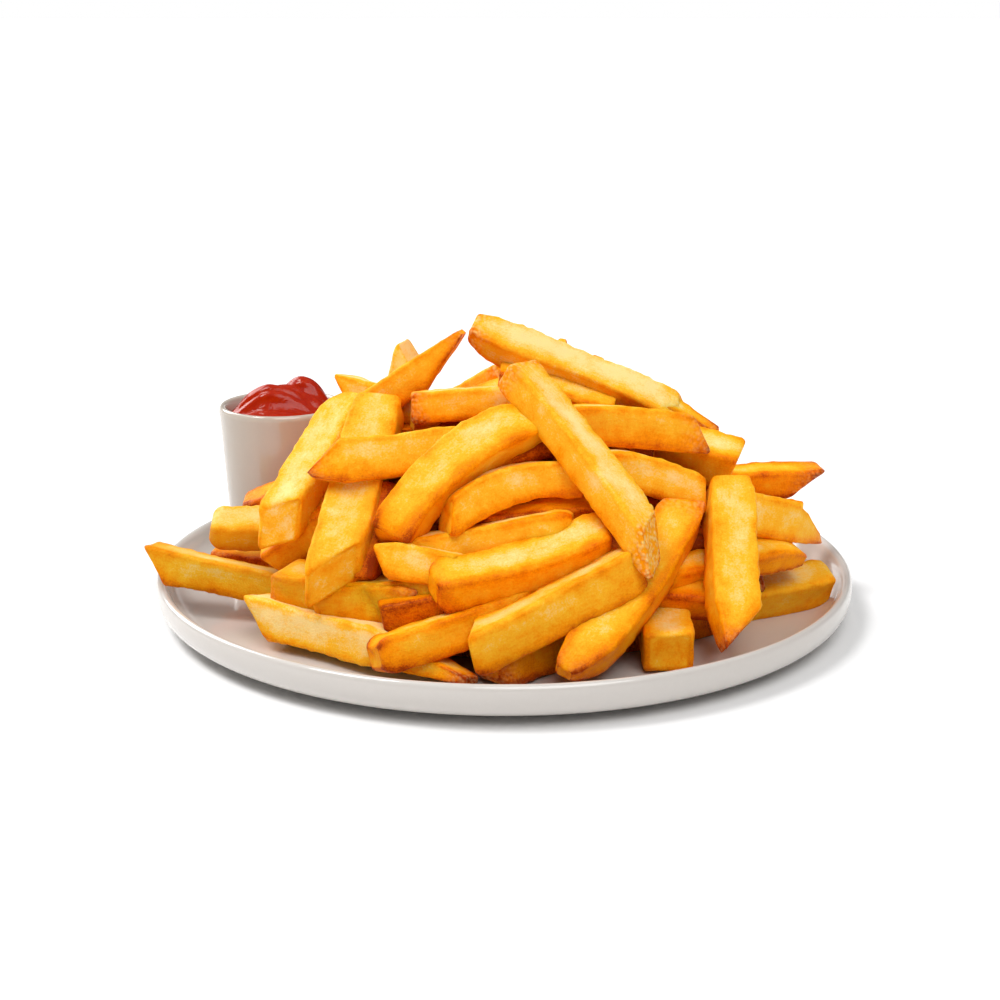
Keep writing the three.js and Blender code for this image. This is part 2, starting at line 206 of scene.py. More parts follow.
# How far each piece has a duller, darker mustard tone.
DULLED = {
    "farleft": 0.7, "leftblock": 0.6, "lowleft": 0.12, "cube": 0.2, "midleft": 0.6,
    "goldlow": 0.5, "underfront": 0.6, "palemid": 0.1, "darklow": 0.4, "cream": 0.3,
}

# The height of a piece's section, as a share of its width.
THICKNESS_SHARE = 0.86

# The pieces whose long edges stayed as pale as their faces.
PALE_EDGED = ("ridge", "bigfront", "paleleft", "palemid", "upright", "rightblock", "cube", "leftblock")

# Which way the tip of a tapered end lies, towards the upper and the front face, where it isn't
# at the upper edge.
TIP_TOWARDS = {
    "leftpoint": (-0.5, 0), "rightpoint": (-0.8, -0.7), "upright": (0.2, -0.7),
    "rightmid": (-0.8, 0), "tipright": (-0.8, 0),
    "hook": (0, 0), "paleleft": (0, 0.9), "lowfront": (0, 0), "goldlow": (0, 0),
    "lowleft": (-0.7, 0), "underfront": (0, 0), "widefront": (0, 0), "longdiag": (0, 0),
    "overright": (0, 0), "midleft": (0, 0), "leftblock": (0, 0), "rightblock": (0, 0),
    "rounded": (0, 0),
}
USUAL_TIP = (0.8, 0)

# How far each end's cut slopes along the piece, over its height and over its front face.
CUT_SLOPES = {
    "bigfront": ((0, 0), (-1.0, 0.5)),
    "hook": ((-0.2, -0.4), (0, 0)),
    "arched": ((0, 0), (-0.2, 0)),
    "overright": ((0, 0), (-0.45, 0.1)),
    "archbright": ((0.3, 0.1), (0, 0)),
    "longdiag": ((0, 0.2), (0, 0)),
    "blockright": ((0, 0), (0.1, 0)),
    "palemid": ((0, 0), (-0.5, -0.8)),
    "paleleft": ((0, 0), (-0.8, -0.5)),
    "farleft": ((-0.8, 0), (0, 0)),
    "lowleft": ((-1.0, 0), (0, 0)),
    "paletip": ((-0.6, 0), (0, 0)),
    "farright": ((0, 0), (1.1, 0)),
    "ridge": ((0, 0), (-0.7, 0.2)),
    "cream": ((0.12, -0.55), (0, 0)),
    "cube": ((0, 0.1), (0, 0)),
    "crownright": ((0, 0), (0.5, 0)),
    "sideback": ((0, 0), (0.5, 0)),
}

# The ends that came out bubbly, each from 0 to 1.
BUBBLED = {
    "ridge": (1, 0.5), "bigfront": (0.7, 1), "underfront": (0.2, 0.2), "leftup": (0.3, 0.3),
    "leftbrown": (0.4, 0.4), "tiptop": (0.3, 0), "rightpoint": (0, 0.4), "hook": (0.4, 0.1),
    "upright": (0, 0.3), "lowleft": (0.1, 0.5), "leftpoint": (0.2, 0), "overright": (0, 0.4),
    "tipright": (0, 0.3), "broken": (0.5, 0), "farright": (0, 0.3), "midleft": (0.2, 0.3),
}

# The ends that browned most, beside the usual.
BROWNED_ENDS = {
    "lowleft": (0.1, 0.8), "longdiag": (0.35, 0), "overright": (0, 0.12), "hook": (0.1, 0.12),
    "upright": (0, 0.6), "archbright": (0.15, 0), "ridge": (0.12, 0.1), "tiptop": (0.1, 0),
    "rightpoint": (0, 0.25), "leftpoint": (0.45, 0), "farleft": (0.15, 0), "underfront": (0.1, 0.1),
    "widefront": (0.2, 0), "broken": (0.2, 0), "tipright": (0, 0.2), "farright": (0, 0.2),
    "lowfront": (0.15, 0), "bigfront": (0.1, 0), "midleft": (0.05, 0.2), "leftup": (0.1, 0.1),
}

# Each kind of end: the share of the full section that is left there, the share of the length
# over which the section grows back, and its rounding as a share of the width.
END_KINDS = {
    "c": (0.9, 0.09, 0.1), "u": (1, 0.03, 0.1), "r": (0.66, 0.1, 0.14),
    "t": (0.45, 0.2, 0.14), "p": (0.2, 0.45, 0.14), "s": (0.12, 0.22, 0.14),
}
CUT_ENDS = "cu"
POINTED_ENDS = "ps"
END_ROUNDNESS = 0.85

# How uneven a piece is along its length: its section swells and shrinks by a share, its middle
# wanders and it twists, each over a length of its own.
SWELL = 0.09
SWELL_LENGTH = 20
WANDER = 0.6
WANDER_LENGTH = 24
TWIST = math.radians(6)
TWIST_LENGTH = 40

# How far a piece without a row of its own above is bent, cut aslant and out of square at most,
# and the places in the cell noise that these three are taken from.
USUAL_BEND = 1.2
USUAL_CUT_SLOPE = 0.12
USUAL_SKEW = 0.06
BEND_CELL = 6
SLOPE_CELL = 4
SKEW_CELL = 8

# A slanted cut fades out over this length. A rounded end draws in the section by this many
# times its rounding, down to the least share.
CUT_FADE = 17
ROUNDING_DEPTH = 1.6
LEAST_SECTION = 0.08

# The dents in the faces: the depth of each and how much finer it is than the first length. The
# edges crumble more, and the faces sink a little between them.
DENT_LENGTH = 5
DENTS = ((0.35, 0.5), (0.3, 1), (0.14, 2.7))
EDGE_DENT = 0.45
EDGE_DENT_FINENESS = 2.1
HOLLOW = 0.12
HOLLOW_WIDTH = 14

# What browns a point beside how far its piece was fried, and the painted shade on its sides: 0 is
# pale, and 1 is the darkest.
LEAST_BROWNED = 0.04
# Painted shade: the faces that don't look up are browned further than the top, for the light they
# lack.
SIDE_PAINTED_SHADE = 0.27
EDGE_BROWNING = 0.27
PALE_EDGE_BROWNING = 0.15
EDGE_NARROWNESS = 2.5
EDGE_EVENNESS = 0.9
EDGE_BREAKS = 0.4
EDGE_BREAK_FINENESS = 0.6
PATCH_BROWNING = 0.12
PATCH_LENGTH = 14
PATCH_WIDTH = 9
END_BROWNING = 0.16
CUT_REACH = 2.5
TIP_REACH = 8
FOAM_REACH = 9
PALE_EDGE_LINE = 0.85

# The streaks that the blade left, and how far each piece's are shifted from those of the last.
STREAK_LENGTH = 5
STREAK_WIDTH = 0.9
STREAK_SHIFT = 3.0

# The rings that close an end, as shares of its outline, and how they dent and brown.
END_RINGS = (0.86, 0.6, 0.3)
END_HOLLOW = 0.3
END_DENT = 0.25
BUBBLE_DENT = 0.5
END_DENT_LENGTH = 2.2
CLOSED_END_BROWNED = 0.26
END_PATCH = 0.2
END_PATCH_LENGTH = 4
END_GRAIN = 0.8

# How finely a piece is drawn: the step between its rings, and the points on each corner and on
# each face of its section.
FINE = (1.9, 5, 4)
COARSE = (2.8, 4, 1)
COARSEST = (7, 2, 1)

# The inner fill: the front pieces once more, nearer to the middle of the heap and turned there,
# browned dark as painted shade.
FILL_SHARE = 0.76
FILL_TURN = 24
FILL_PAINTED_SHADE = 0.8

# How many points go round the plate, the pot and the ketchup, and where the pot stands.
PLATE_AROUND = 180
POT_AROUND = 120
POT_MIDDLE = (-90, 36)

# The ketchup: its level under the pot's lip, its reach to the wall, the radius and height of its
# underside's rings, how many rings its top has, and the ripples in its folds.
KETCHUP_BELOW_LIP = 4
KETCHUP_RADIUS = 21.7
KETCHUP_UNDERSIDE = ((15, 11), (17.8, 13.8))
KETCHUP_AROUND = 120
KETCHUP_RINGS = 34
RIPPLE = 1.1
RIPPLE_LENGTH = 9
RIPPLE_WIDTH = 1.7

# Its folds: the middle of each, its half widths, its share of the crest and how flat its top is.
# A crease between two folds is the sharper the smaller its number.
FRONT_FOLD = (-2, -2, 16, 8, 1.0, 1.5)
RIGHT_FOLD = (11, -1, 13, 6, 0.66, 1.2)
BACK_FOLD = (9.5, 8, 13, 8, 1.14, 1.2)
LOW_FOLD = (-3, -13, 17, 6, 0.3, 1.2)
RIGHT_CREASE = 1.2
LOW_CREASE = 0.6
BACK_CREASE = 0.2

# The stage, in metres and degrees. The camera was fitted to the outline of the plate.
FLOOR_HALF = 30.0
CAMERA_PLACE = (0, -0.650, 0.225)
CAMERA_DOWN = 15.92
CAMERA_TURN = 0.132
CAMERA_LENS = 62.35
CAMERA_SENSOR = 36


# Settings that a user would change

class FriesSettings(bpy.types.PropertyGroup):
    """Sizes and colours of the fries."""

    edge_radius: FloatProperty(
        name="Edge radius", description="How far the knife-cut edges are rounded",
        default=1.6 * MM, min=0.0005, max=0.004, unit="LENGTH",
    )
    pale: FloatVectorProperty(
        name="Pale face", description="Colour where the potato stayed pale",
        default=linear("#FFD98E"), subtype="COLOR", min=0, max=1,
    )
    golden: FloatVectorProperty(
        name="Golden face", description="Colour of a face that is cooked through",
        default=linear("#FFBA28"), subtype="COLOR", min=0, max=1,
    )
    amber: FloatVectorProperty(
        name="Amber face", description="Colour of a well fried face",
        default=linear("#FA9700"), subtype="COLOR", min=0, max=1,
    )
    brown: FloatVectorProperty(
        name="Browned edge", description="Colour of crisp edges and tips",
        default=linear("#D86800"), subtype="COLOR", min=0, max=1,
    )
    dark: FloatVectorProperty(
        name="Darkest tip", description="Colour of the tips that fried longest",
        default=linear("#A03C00"), subtype="COLOR", min=0, max=1,
    )


class PlateSettings(bpy.types.PropertyGroup):
    """Sizes and colour of the plate."""

    radius: FloatProperty(
        name="Radius", description="Outside radius of the rim",
        default=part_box("plate")[1][0], min=0.1, max=0.2, unit="LENGTH",
    )
    rim_height: FloatProperty(
        name="Rim height", description="Height of the rim above the table",
        default=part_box("plate")[1][2], min=0.01, max=0.03, unit="LENGTH",
    )
    glaze: FloatVectorProperty(
        name="Glaze", description="Colour of the white glaze",
        default=linear("#CCC6C0"), subtype="COLOR", min=0, max=1,
    )


class PotSettings(bpy.types.PropertyGroup):
    """Sizes and colour of the pot."""

    top: FloatProperty(
        name="Top", description="Height of the pot's lip above the table",
        default=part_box("pot")[1][2], min=0.05, max=0.09, unit="LENGTH",
    )
    glaze: FloatVectorProperty(
        name="Glaze", description="Colour of the white glaze",
        default=linear("#BFB4A7"), subtype="COLOR", min=0, max=1,
    )


class KetchupSettings(bpy.types.PropertyGroup):
    """Shape and colour of the ketchup."""

    crest: FloatProperty(
        name="Crest", description="Height of the folds above the level in the pot",
        default=12 * MM, min=0, max=0.02, unit="LENGTH",
    )
    tomato: FloatVectorProperty(
        name="Tomato", description="Colour of the sauce",
        default=linear("#A01800"), subtype="COLOR", min=0, max=1,
    )


class StageSettings(bpy.types.PropertyGroup):
    """The floor and the light."""

    floor: FloatVectorProperty(
        name="Floor", description="Colour of the plain floor",
        default=linear("#F4F4F4"), subtype="COLOR", min=0, max=1,
    )
    overhead: FloatProperty(
        name="Overhead light", description="Strength of the wide light above and in front",
        default=1.5, min=0, max=10,
    )
    softbox: FloatProperty(
        name="Softbox", description="Strength of the narrower light above and to the left",
        default=1.5, min=0, max=10,
    )
    backlight: FloatProperty(
        name="Backlight", description="Strength of the light from behind on the left",
        default=1.7, min=0, max=10,
    )
    room: FloatProperty(
        name="Room light", description="Strength of the white light from all round",
        default=1.0, min=0, max=3,
    )


# Materials

def add_node(tree, kind, inputs=None, **settings):
    """Adds a node, sets it up, and fills or links its inputs."""
    made = tree.nodes.new(kind)
    for name, value in settings.items():
        setattr(made, name, value)
    for name, value in (inputs or {}).items():
        if isinstance(value, bpy.types.NodeSocket):
            tree.links.new(value, made.inputs[name])
        else:
            made.inputs[name].default_value = value
    return made


def new_material(name):
    """An empty material: its node tree and the output that a shader goes to."""
    material = bpy.data.materials.new(name)
    material.use_nodes = True
    tree = material.node_tree
    tree.nodes.clear()
    return material, tree, tree.nodes.new("ShaderNodeOutputMaterial")


def set_stops(ramp, stops):
    """Gives a colour ramp its places and linear colours."""
    while len(ramp.elements) < len(stops):
        ramp.elements.new(0.5)
    for element, (place, colour) in zip(ramp.elements, stops):
        element.position = place
        element.color = (*colour, 1)


def potato_patterns(tree):
    """The patterns that a fried face shows, each from 0 to 1."""
    place = add_node(tree, "ShaderNodeTexCoord").outputs["Object"]
    grain = add_node(tree, "ShaderNodeAttribute", attribute_name="grain").outputs["Vector"]
    # Clouds about 6 mm across, from starch that browns unevenly.
    clouds = add_node(tree, "ShaderNodeTexNoise", {
        "Vector": place, "Scale": 1 / (6 * MM), "Detail": 4, "Roughness": 0.6,
    }).outputs["Fac"]
    # Streaks that the blade left along the piece. The mesh gives their length and width.
    streaks = add_node(tree, "ShaderNodeTexNoise", {
        "Vector": grain, "Scale": 1, "Detail": 3, "Roughness": 0.55,
    }).outputs["Fac"]
    # Meal of the potato, about 0.5 mm, drawn at 0.7 mm so that it shows.
    meal = add_node(tree, "ShaderNodeTexNoise", {
        "Vector": place, "Scale": 1 / (0.7 * MM), "Detail": 2, "Roughness": 0.7,
    }).outputs["Fac"]
    # Bubbles of 1.3 mm on the ends, where water boiled out of the cut.
    bubbles = add_node(tree, "ShaderNodeTexVoronoi", {
        "Vector": place, "Scale": 1 / (1.3 * MM),
    }, feature="SMOOTH_F1").outputs["Distance"]
    return clouds, streaks, meal, bubbles


def potato_browning(tree, clouds, streaks, meal, blister):
    """How far each spot is browned: what the mesh says, painted shade on the sides and in the gaps
    included, a line on the edges and the patterns.
    """
    crust_and_shade = add_node(tree, "ShaderNodeAttribute", attribute_name="crust_and_shade").outputs["Fac"]
    edge = add_node(tree, "ShaderNodeAttribute", attribute_name="line").outputs["Fac"]
    # The knife-cut edges fried to a thin crisp line, which comes and goes with the clouds.
    edge_line = add_node(tree, "ShaderNodeMapRange", {
        "Value": edge, "From Min": 0.7, "From Max": 1.0, "To Min": 0.0, "To Max": 0.08,
    }).outputs["Result"]
    kept = add_node(tree, "ShaderNodeMapRange", {
        "Value": clouds, "From Min": 0.34, "From Max": 0.62, "To Min": 0.3, "To Max": 1.0,
    }).outputs["Result"]
    crisp_line = add_node(tree, "ShaderNodeMath", {
        0: edge_line, 1: kept,
    }, operation="MULTIPLY").outputs[0]
    total = add_node(tree, "ShaderNodeMath", {0: crust_and_shade, 1: crisp_line}, operation="ADD").outputs[0]
    total = add_node(tree, "ShaderNodeMath", {
        0: blister, 1: 0.2, 2: total,
    }, operation="MULTIPLY_ADD").outputs[0]
    for pattern, amount in ((clouds, 0.6), (streaks, 0.2), (meal, 0.45)):
        centred = add_node(tree, "ShaderNodeMath", {0: pattern, 1: -0.5}, operation="ADD").outputs[0]
        scaled = add_node(tree, "ShaderNodeMath", {
            0: centred, 1: amount,
        }, operation="MULTIPLY").outputs[0]
        total = add_node(tree, "ShaderNodeMath", {0: total, 1: scaled}, operation="ADD").outputs[0]
    return total


def potato_colour(tree, settings, browned, froth):
    """The colour from how far a spot is browned, duller where the mesh says and pale on froth."""
    ramp = add_node(tree, "ShaderNodeValToRGB", {"Fac": browned})
    set_stops(ramp.color_ramp, (
        (0.0, settings.pale), (0.28, settings.golden), (0.54, settings.amber),
        (0.84, settings.brown), (1.0, settings.dark),
    ))
    dulled = add_node(tree, "ShaderNodeAttribute", attribute_name="dulled").outputs["Fac"]
    # Takes out red and blue, which leaves a duller mustard.
    mustard_toned = add_node(tree, "ShaderNodeMix", {
        "Factor": dulled, "A": ramp.outputs["Color"], "B": (0.68, 0.76, 0.6, 1),
    }, data_type="RGBA", blend_type="MULTIPLY").outputs["Result"]
    return add_node(tree, "ShaderNodeMix", {
        "Factor": froth, "A": mustard_toned, "B": (*settings.pale, 1),
    }, data_type="RGBA").outputs["Result"]


def potato_relief(tree, streaks, meal, froth):
    """Shallow relief of a third of a millimetre: streaks, meal and the walls of the bubbles."""
    height = add_node(tree, "ShaderNodeMath", {0: streaks, 1: 0.4}, operation="MULTIPLY").outputs[0]
    height = add_node(tree, "ShaderNodeMath", {0: height, 1: meal}, operation="ADD").outputs[0]
    walls = add_node(tree, "ShaderNodeMath", {0: froth, 1: 2.5}, operation="MULTIPLY").outputs[0]
    height = add_node(tree, "ShaderNodeMath", {0: height, 1: walls}, operation="ADD").outputs[0]
    return add_node(tree, "ShaderNodeBump", {
        "Height": height, "Strength": 0.7, "Distance": 0.35 * MM,
    }).outputs["Normal"]


def fried_potato(settings):
    """Potato, knife-cut and deep-fried: mealy pale faces, amber sides that are partly painted shade,
    and crisp browned edges.
    """
    material, tree, output = new_material("fried_potato")
    clouds, streaks, meal, bubbles = potato_patterns(tree)
    blister = add_node(tree, "ShaderNodeAttribute", attribute_name="blister").outputs["Fac"]
    browned = potato_browning(tree, clouds, streaks, meal, blister)
    # The walls of the bubbles are paler than what lies between them.
    walls = add_node(tree, "ShaderNodeMapRange", {
        "Value": bubbles, "From Min": 0.15, "From Max": 0.55, "To Min": 0.75, "To Max": 0.0,
    }).outputs["Result"]
    froth = add_node(tree, "ShaderNodeMath", {0: walls, 1: blister}, operation="MULTIPLY").outputs[0]
    # A pale face is dry and dull, and a brown edge holds a film of oil that shines a little.
    roughness = add_node(tree, "ShaderNodeMapRange", {
        "Value": browned, "From Min": 0.0, "From Max": 1.0, "To Min": 0.58, "To Max": 0.4,
    }).outputs["Result"]
    # Light goes a few millimetres into the moist potato and comes out warmer.
    shader = add_node(tree, "ShaderNodeBsdfPrincipled", {
        "Base Color": potato_colour(tree, settings, browned, froth),
        "Roughness": roughness,
        "IOR": 1.45,
        "Specular IOR Level": 0.08,
        "Subsurface Weight": 0.35,
        "Subsurface Radius": (1.0, 0.4, 0.12),
        "Subsurface Scale": 4 * MM,
        "Normal": potato_relief(tree, streaks, meal, froth),
    })
    tree.links.new(shader.outputs["BSDF"], output.inputs["Surface"])
    return material


def glazed_ware(name, glaze):
    """Fired white clay dipped in clear glaze: a smooth gloss that lies a little unevenly."""
    material, tree, output = new_material(name)
    place = add_node(tree, "ShaderNodeTexCoord").outputs["Object"]
    # Waves in the glaze about 18 mm across, from how it ran before firing.
    waves = add_node(tree, "ShaderNodeTexNoise", {
        "Vector": place, "Scale": 1 / (18 * MM), "Detail": 2,
    }).outputs["Fac"]
    # Pinholes and dust of about 0.3 mm in the glaze, drawn at 1.5 mm as faint tone.
    specks = add_node(tree, "ShaderNodeTexNoise", {
        "Vector": place, "Scale": 1 / (1.5 * MM), "Detail": 4,
    }).outputs["Fac"]
    tone = add_node(tree, "ShaderNodeMapRange", {
        "Value": specks, "From Min": 0.3, "From Max": 0.7, "To Min": 0.0, "To Max": 0.05,
    }).outputs["Result"]
    colour = add_node(tree, "ShaderNodeMix", {
        "Factor": tone, "A": (*glaze, 1), "B": (*(0.7 * c for c in glaze), 1),
    }, data_type="RGBA").outputs["Result"]
    bump = add_node(tree, "ShaderNodeBump", {
        "Height": waves, "Strength": 0.25, "Distance": 0.4 * MM,
    }).outputs["Normal"]
    roughness = add_node(tree, "ShaderNodeMapRange", {
        "Value": waves, "From Min": 0.3, "From Max": 0.7, "To Min": 0.12, "To Max": 0.2,
    }).outputs["Result"]
    shader = add_node(tree, "ShaderNodeBsdfPrincipled", {
        "Base Color": colour,
        "Roughness": roughness,
        "IOR": 1.5,
        "Coat Weight": 0.4,
        "Coat Roughness": 0.05,
        "Normal": bump,
    })
    tree.links.new(shader.outputs["BSDF"], output.inputs["Surface"])
    return material


def tomato_ketchup(settings):
    """Ketchup, spooned into the pot: wet and glossy, with a little light inside it."""
    material, tree, output = new_material("tomato_ketchup")
    place = add_node(tree, "ShaderNodeTexCoord").outputs["Object"]
    # Pulp of about 1 mm, which makes the gloss uneven, drawn at 2.2 mm so that it shows.
    pulp = add_node(tree, "ShaderNodeTexNoise", {
        "Vector": place, "Scale": 1 / (2.2 * MM), "Detail": 4, "Roughness": 0.6,
    }).outputs["Fac"]
    tone = add_node(tree, "ShaderNodeMapRange", {
        "Value": pulp, "From Min": 0.3, "From Max": 0.7, "To Min": 0.0, "To Max": 0.35,
    }).outputs["Result"]
    colour = add_node(tree, "ShaderNodeMix", {
        "Factor": tone, "A": (*settings.tomato, 1), "B": (*linear("#C43A00"), 1),
    }, data_type="RGBA").outputs["Result"]
    bump = add_node(tree, "ShaderNodeBump", {
        "Height": pulp, "Strength": 0.25, "Distance": 0.5 * MM,
    }).outputs["Normal"]
    roughness = add_node(tree, "ShaderNodeMapRange", {
        "Value": pulp, "From Min": 0.3, "From Max": 0.7, "To Min": 0.06, "To Max": 0.14,
    }).outputs["Result"]
    shader = add_node(tree, "ShaderNodeBsdfPrincipled", {
        "Base Color": colour,
        "Roughness": roughness,
        "IOR": 1.42,
        "Specular IOR Level": 0.28,
        "Subsurface Weight": 0.1,
        "Subsurface Radius": (1.0, 0.08, 0.03),
        "Subsurface Scale": 2 * MM,
        "Normal": bump,
    })
    tree.links.new(shader.outputs["BSDF"], output.inputs["Surface"])
    return material


def studio_floor(settings):
    """Board painted matt white, which takes a soft shadow and shows no gloss."""
    material, tree, output = new_material("studio_floor")
    shader = add_node(tree, "ShaderNodeBsdfPrincipled", {
        "Base Color": (*settings.floor, 1),
        "Roughness": 0.9,
    })
    tree.links.new(shader.outputs["BSDF"], output.inputs["Surface"])
    return material


# Plate, pot and ketchup

def add_object(name, vertices, faces, material):
    """A smooth-shaded mesh object in metres."""
    mesh = bpy.data.meshes.new(name)
    mesh.from_pydata(vertices, [], faces)
    mesh.materials.append(material)
    mesh.shade_smooth()
    mesh.update()
    made = bpy.data.objects.new(name, mesh)
    bpy.context.scene.collection.objects.link(made)
    return made


def stand_for(piece, node):
    """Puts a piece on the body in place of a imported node."""
    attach(piece, "root")
    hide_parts(node)


def corners_cut(profile, rounds=2):
    """A profile with its corners rounded, by cutting each a quarter of the way in, twice."""
    for _ in range(rounds):
        cut = [profile[0]]
        for (ra, za), (rb, zb) in zip(profile, profile[1:]):
            cut.append((0.75 * ra + 0.25 * rb, 0.75 * za + 0.25 * zb))
            cut.append((0.25 * ra + 0.75 * rb, 0.25 * za + 0.75 * zb))
        cut.append(profile[-1])
        profile = cut
    return profile


def ring_angles(around):
    """The angles of evenly spaced points on a full turn."""
    return [2 * math.pi * i / around for i in range(around)]


def ring_bands(first, around, rings):
    """The faces between rings of points that follow each other from a vertex on."""
    faces = []
    for ring in range(rings - 1):
        for i in range(around):
            a = first + ring * around + i
            b = first + ring * around + (i + 1) % around
            faces.append((a, b, b + around, a + around))
    return faces


def turned_shape(profile, around, middle=(0, 0)):
    """The vertices and faces of a profile in millimetres spun about an upright line."""
    vertices = []
    for radius, height in profile[1:-1]:
        for angle in ring_angles(around):
            x = middle[0] + radius * math.cos(angle)
            y = middle[1] + radius * math.sin(angle)
            vertices.append((x * MM, y * MM, height * MM))
    rings = len(profile) - 2
    faces = ring_bands(0, around, rings)
    for (_, height), ring, turn in ((profile[0], 0, -1), (profile[-1], rings - 1, 1)):
        centre = len(vertices)
        vertices.append((middle[0] * MM, middle[1] * MM, height * MM))
        for i in range(around):
            a = ring * around + i
            b = ring * around + (i + 1) % around
            faces.append((centre, a, b)[::turn])
    return vertices, faces


def plate_profile(radius, rim):
    """The plate from the middle of its underside, over the rim, to the middle of its floor."""
    underside, floor = 2.5, 5.5
    foot_inside, foot_outside = 92, 97
    inner = radius - 4.2
    return [
        (0, underside), (60, underside), (foot_inside - 2, underside), (foot_inside, 0.2),
        (foot_inside + 1, 0), (foot_outside - 1, 0), (foot_outside, 0.2), (foot_outside + 3, 2.4),
        (radius - 11, rim - 13.6), (radius - 4.5, rim - 12.2), (radius - 1.2, rim - 9.4),
        (radius, rim - 6), (radius, rim - 1.8), (radius - 0.9, rim - 0.2), (inner + 2, rim + 0.2),
        (inner + 0.7, rim - 0.5), (inner - 0.3, rim - 2), (inner - 2.2, floor + 4.6),
        (124, floor + 1.3), (118, floor + 0.1), (100, floor), (50, floor), (0, floor),
    ]


def pot_profile(top):
    """The pot from the middle of its underside, over the lip, to the middle of its floor."""
    underside, floor = 7, 10.5
    return [
        (0, underside), (18, underside), (19, 5.8), (20.6, 5.8), (21.6, 7.4), (23.3, 34),
        (24.7, top - 9), (25.2, top - 3.4), (25.4, top - 1.4), (24.6, top + 0.1),
        (23.2, top + 0.1), (22.2, top - 1.2), (21.5, top - 6), (21.4, top - 9),
        (18, floor + 3), (15, floor), (0, floor),
    ]


class DISH_OT_plate(bpy.types.Operator):
    """Make the plate"""

    bl_idname = "dish.plate"
    bl_label = "Plate"

    def execute(self, context):
        settings = context.scene.plate_settings
        profile = corners_cut(plate_profile(settings.radius / MM, settings.rim_height / MM))
        vertices, faces = turned_shape(profile, PLATE_AROUND)
        stoneware = glazed_ware("glazed_stoneware", settings.glaze)
        plate = add_object("plate_glazed", vertices, faces, stoneware)
        stand_for(plate, "plate")
        return {"FINISHED"}


class DISH_OT_pot(bpy.types.Operator):
    """Make the pot for the ketchup"""

    bl_idname = "dish.pot"
    bl_label = "Pot"

    def execute(self, context):
        settings = context.scene.pot_settings
        profile = corners_cut(pot_profile(settings.top / MM))
        vertices, faces = turned_shape(profile, POT_AROUND, POT_MIDDLE)
        porcelain = glazed_ware("glazed_porcelain", settings.glaze)
        pot = add_object("pot_glazed", vertices, faces, porcelain)
        stand_for(pot, "pot")
        return {"FINISHED"}


def fold_height(fold, x, y, crest):
    """How high one fold of the ketchup is at a place."""
    middle_x, middle_y, half_x, half_y, share, flatness = fold
    away = ((x - middle_x) / half_x) ** 2 + ((y - middle_y) / half_y) ** 2
    return crest * share * math.exp(-0.9 * away ** flatness)


def upper_of(first, second, crease):
    """The higher of two heights, blended where they meet."""
    return (first + second + math.sqrt((first - second) ** 2 + crease ** 2)) / 2


def ketchup_rise(x, y, crest):
    """Height above the level in the pot: a long fold in front of a taller one, with a crease."""
    front, right, back, low = (
        fold_height(fold, x, y, crest) for fold in (FRONT_FOLD, RIGHT_FOLD, BACK_FOLD, LOW_FOLD)
    )
    in_front = upper_of(upper_of(front, right, RIGHT_CREASE), low, LOW_CREASE)
    return upper_of(in_front, back, BACK_CREASE)


def ketchup_shape(level, crest):
    """The sauce from its underside out to the pot's wall and over its folds, in millimetres."""
    vertices = []
    for radius, height in KETCHUP_UNDERSIDE:
        for angle in ring_angles(KETCHUP_AROUND):
            vertices.append((radius * math.cos(angle), radius * math.sin(angle), height))
    for ring in range(KETCHUP_RINGS, 0, -1):
        share = ring / KETCHUP_RINGS
        settle = 1 - share ** 6
        for angle in ring_angles(KETCHUP_AROUND):
            x = KETCHUP_RADIUS * share * math.cos(angle)
            y = KETCHUP_RADIUS * share * math.sin(angle)
            ripple = RIPPLE * noise.noise(Vector((x / RIPPLE_LENGTH, y / RIPPLE_WIDTH, 0)))
            vertices.append((x, y, level + settle * (ketchup_rise(x, y, crest) + ripple)))
    rings = len(KETCHUP_UNDERSIDE) + KETCHUP_RINGS
    faces = ring_bands(0, KETCHUP_AROUND, rings)
    vertices.append((0, 0, level + ketchup_rise(0, 0, crest)))
    last = (rings - 1) * KETCHUP_AROUND
    for i in range(KETCHUP_AROUND):
        faces.append((last + i, last + (i + 1) % KETCHUP_AROUND, len(vertices) - 1))
    faces.append(tuple(reversed(range(KETCHUP_AROUND))))
    return vertices, faces


class DISH_OT_ketchup(bpy.types.Operator):
    """Fill the pot with ketchup"""

    bl_idname = "dish.ketchup"
    bl_label = "Ketchup"

    def execute(self, context):
        settings = context.scene.ketchup_settings
        level = context.scene.pot_settings.top / MM - KETCHUP_BELOW_LIP
        vertices, faces = ketchup_shape(level, settings.crest / MM)
        middle_x, middle_y = POT_MIDDLE
        placed = [((x + middle_x) * MM, (y + middle_y) * MM, z * MM) for x, y, z in vertices]
        ketchup = add_object("ketchup_wet", placed, faces, tomato_ketchup(settings))
        stand_for(ketchup, "ketchup")
        return {"FINISHED"}


# Fries

